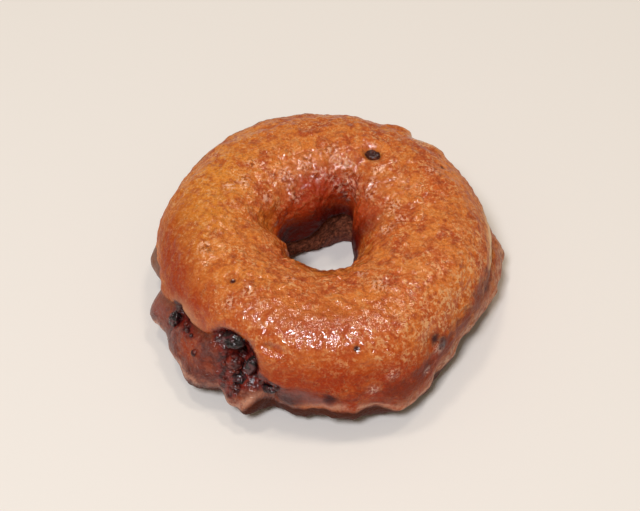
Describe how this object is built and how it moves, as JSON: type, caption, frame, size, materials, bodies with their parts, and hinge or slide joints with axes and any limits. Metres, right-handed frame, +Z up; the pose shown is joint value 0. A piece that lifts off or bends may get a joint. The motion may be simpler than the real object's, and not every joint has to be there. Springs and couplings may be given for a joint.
{
  "type": "blueberry cake doughnut",
  "caption": "Glazed ring doughnut with an open hole, a torn lower rim with a skirt of lobes, and blueberries showing in the crust.",
  "frame": {"origin": "centre of the bounding box's underside, where the doughnut lies on the table", "axes": "+Z up through the hole, -Y towards the torn side with the berries, +X to the right of a viewer on that side"},
  "size_m": [0.0853, 0.082, 0.03],
  "materials": {
    "crust": "orange-brown fried crust under a thin clear sugar glaze, redder round the hole and at the tear",
    "blueberry": "dark purple-black wet berry skin"
  },
  "bodies": {
    "root": {"doughnut": "crust", "blueberry_upper": "blueberry", "blueberry_red": "blueberry", "blueberry_lower": "blueberry", "blueberry_crevice": "blueberry", "blueberry_left": "blueberry", "blueberry_front": "blueberry", "blueberry_top": "blueberry"}
  },
  "joints": []
}
